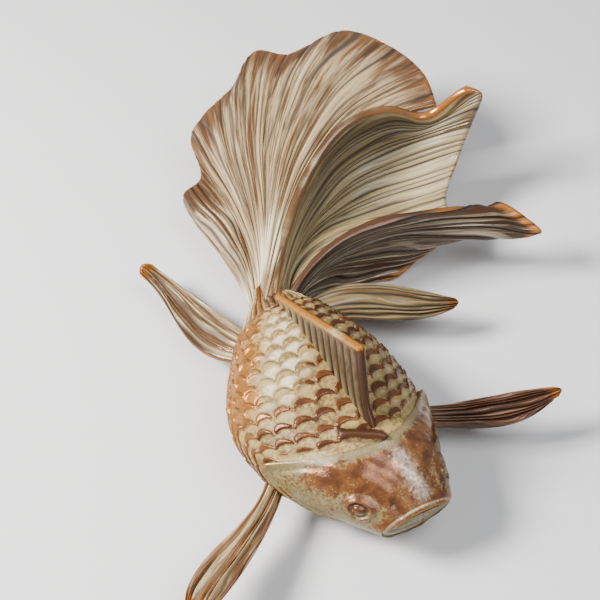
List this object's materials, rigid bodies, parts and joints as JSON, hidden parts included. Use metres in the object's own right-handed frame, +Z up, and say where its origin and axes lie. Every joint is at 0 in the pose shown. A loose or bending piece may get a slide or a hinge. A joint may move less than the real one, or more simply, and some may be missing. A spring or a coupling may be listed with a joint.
{
  "type": "fish figurine",
  "caption": "Cast bronze fantail goldfish ornament with a scaled body, helmet-like head, upright dorsal fin, fluted paired fins and a wide ruffled tail; stands on its belly.",
  "frame": {"origin": "Centre of the small flat under the belly that the fish rests on, on the table plane.", "axes": "+Z up from the table, +Y towards the tail, nose along -Y, +X towards the fish's own left side."},
  "size_m": [0.1081, 0.1181, 0.039],
  "materials": {
    "patinated_bronze": "cast bronze with a grey-cream patina over dark red-brown, scale edges rubbed copper",
    "burnished_bronze": "cast bronze, red-brown and handled smooth, crown rubbed pale",
    "fin_bronze": "fluted cast bronze, pale patina on the rays, near-black between them, edges rubbed copper-orange"
  },
  "bodies": {
    "root": {"trunk": "patinated_bronze", "head": "burnished_bronze", "dorsal_fin": "fin_bronze", "right_pectoral_fin": "fin_bronze", "left_pectoral_fin": "fin_bronze", "right_pelvic_fin": "fin_bronze", "left_pelvic_fin": "fin_bronze", "tail_right_half": "fin_bronze", "tail_left_upper_lobe": "fin_bronze", "tail_left_lower_lobe": "fin_bronze"}
  },
  "joints": []
}
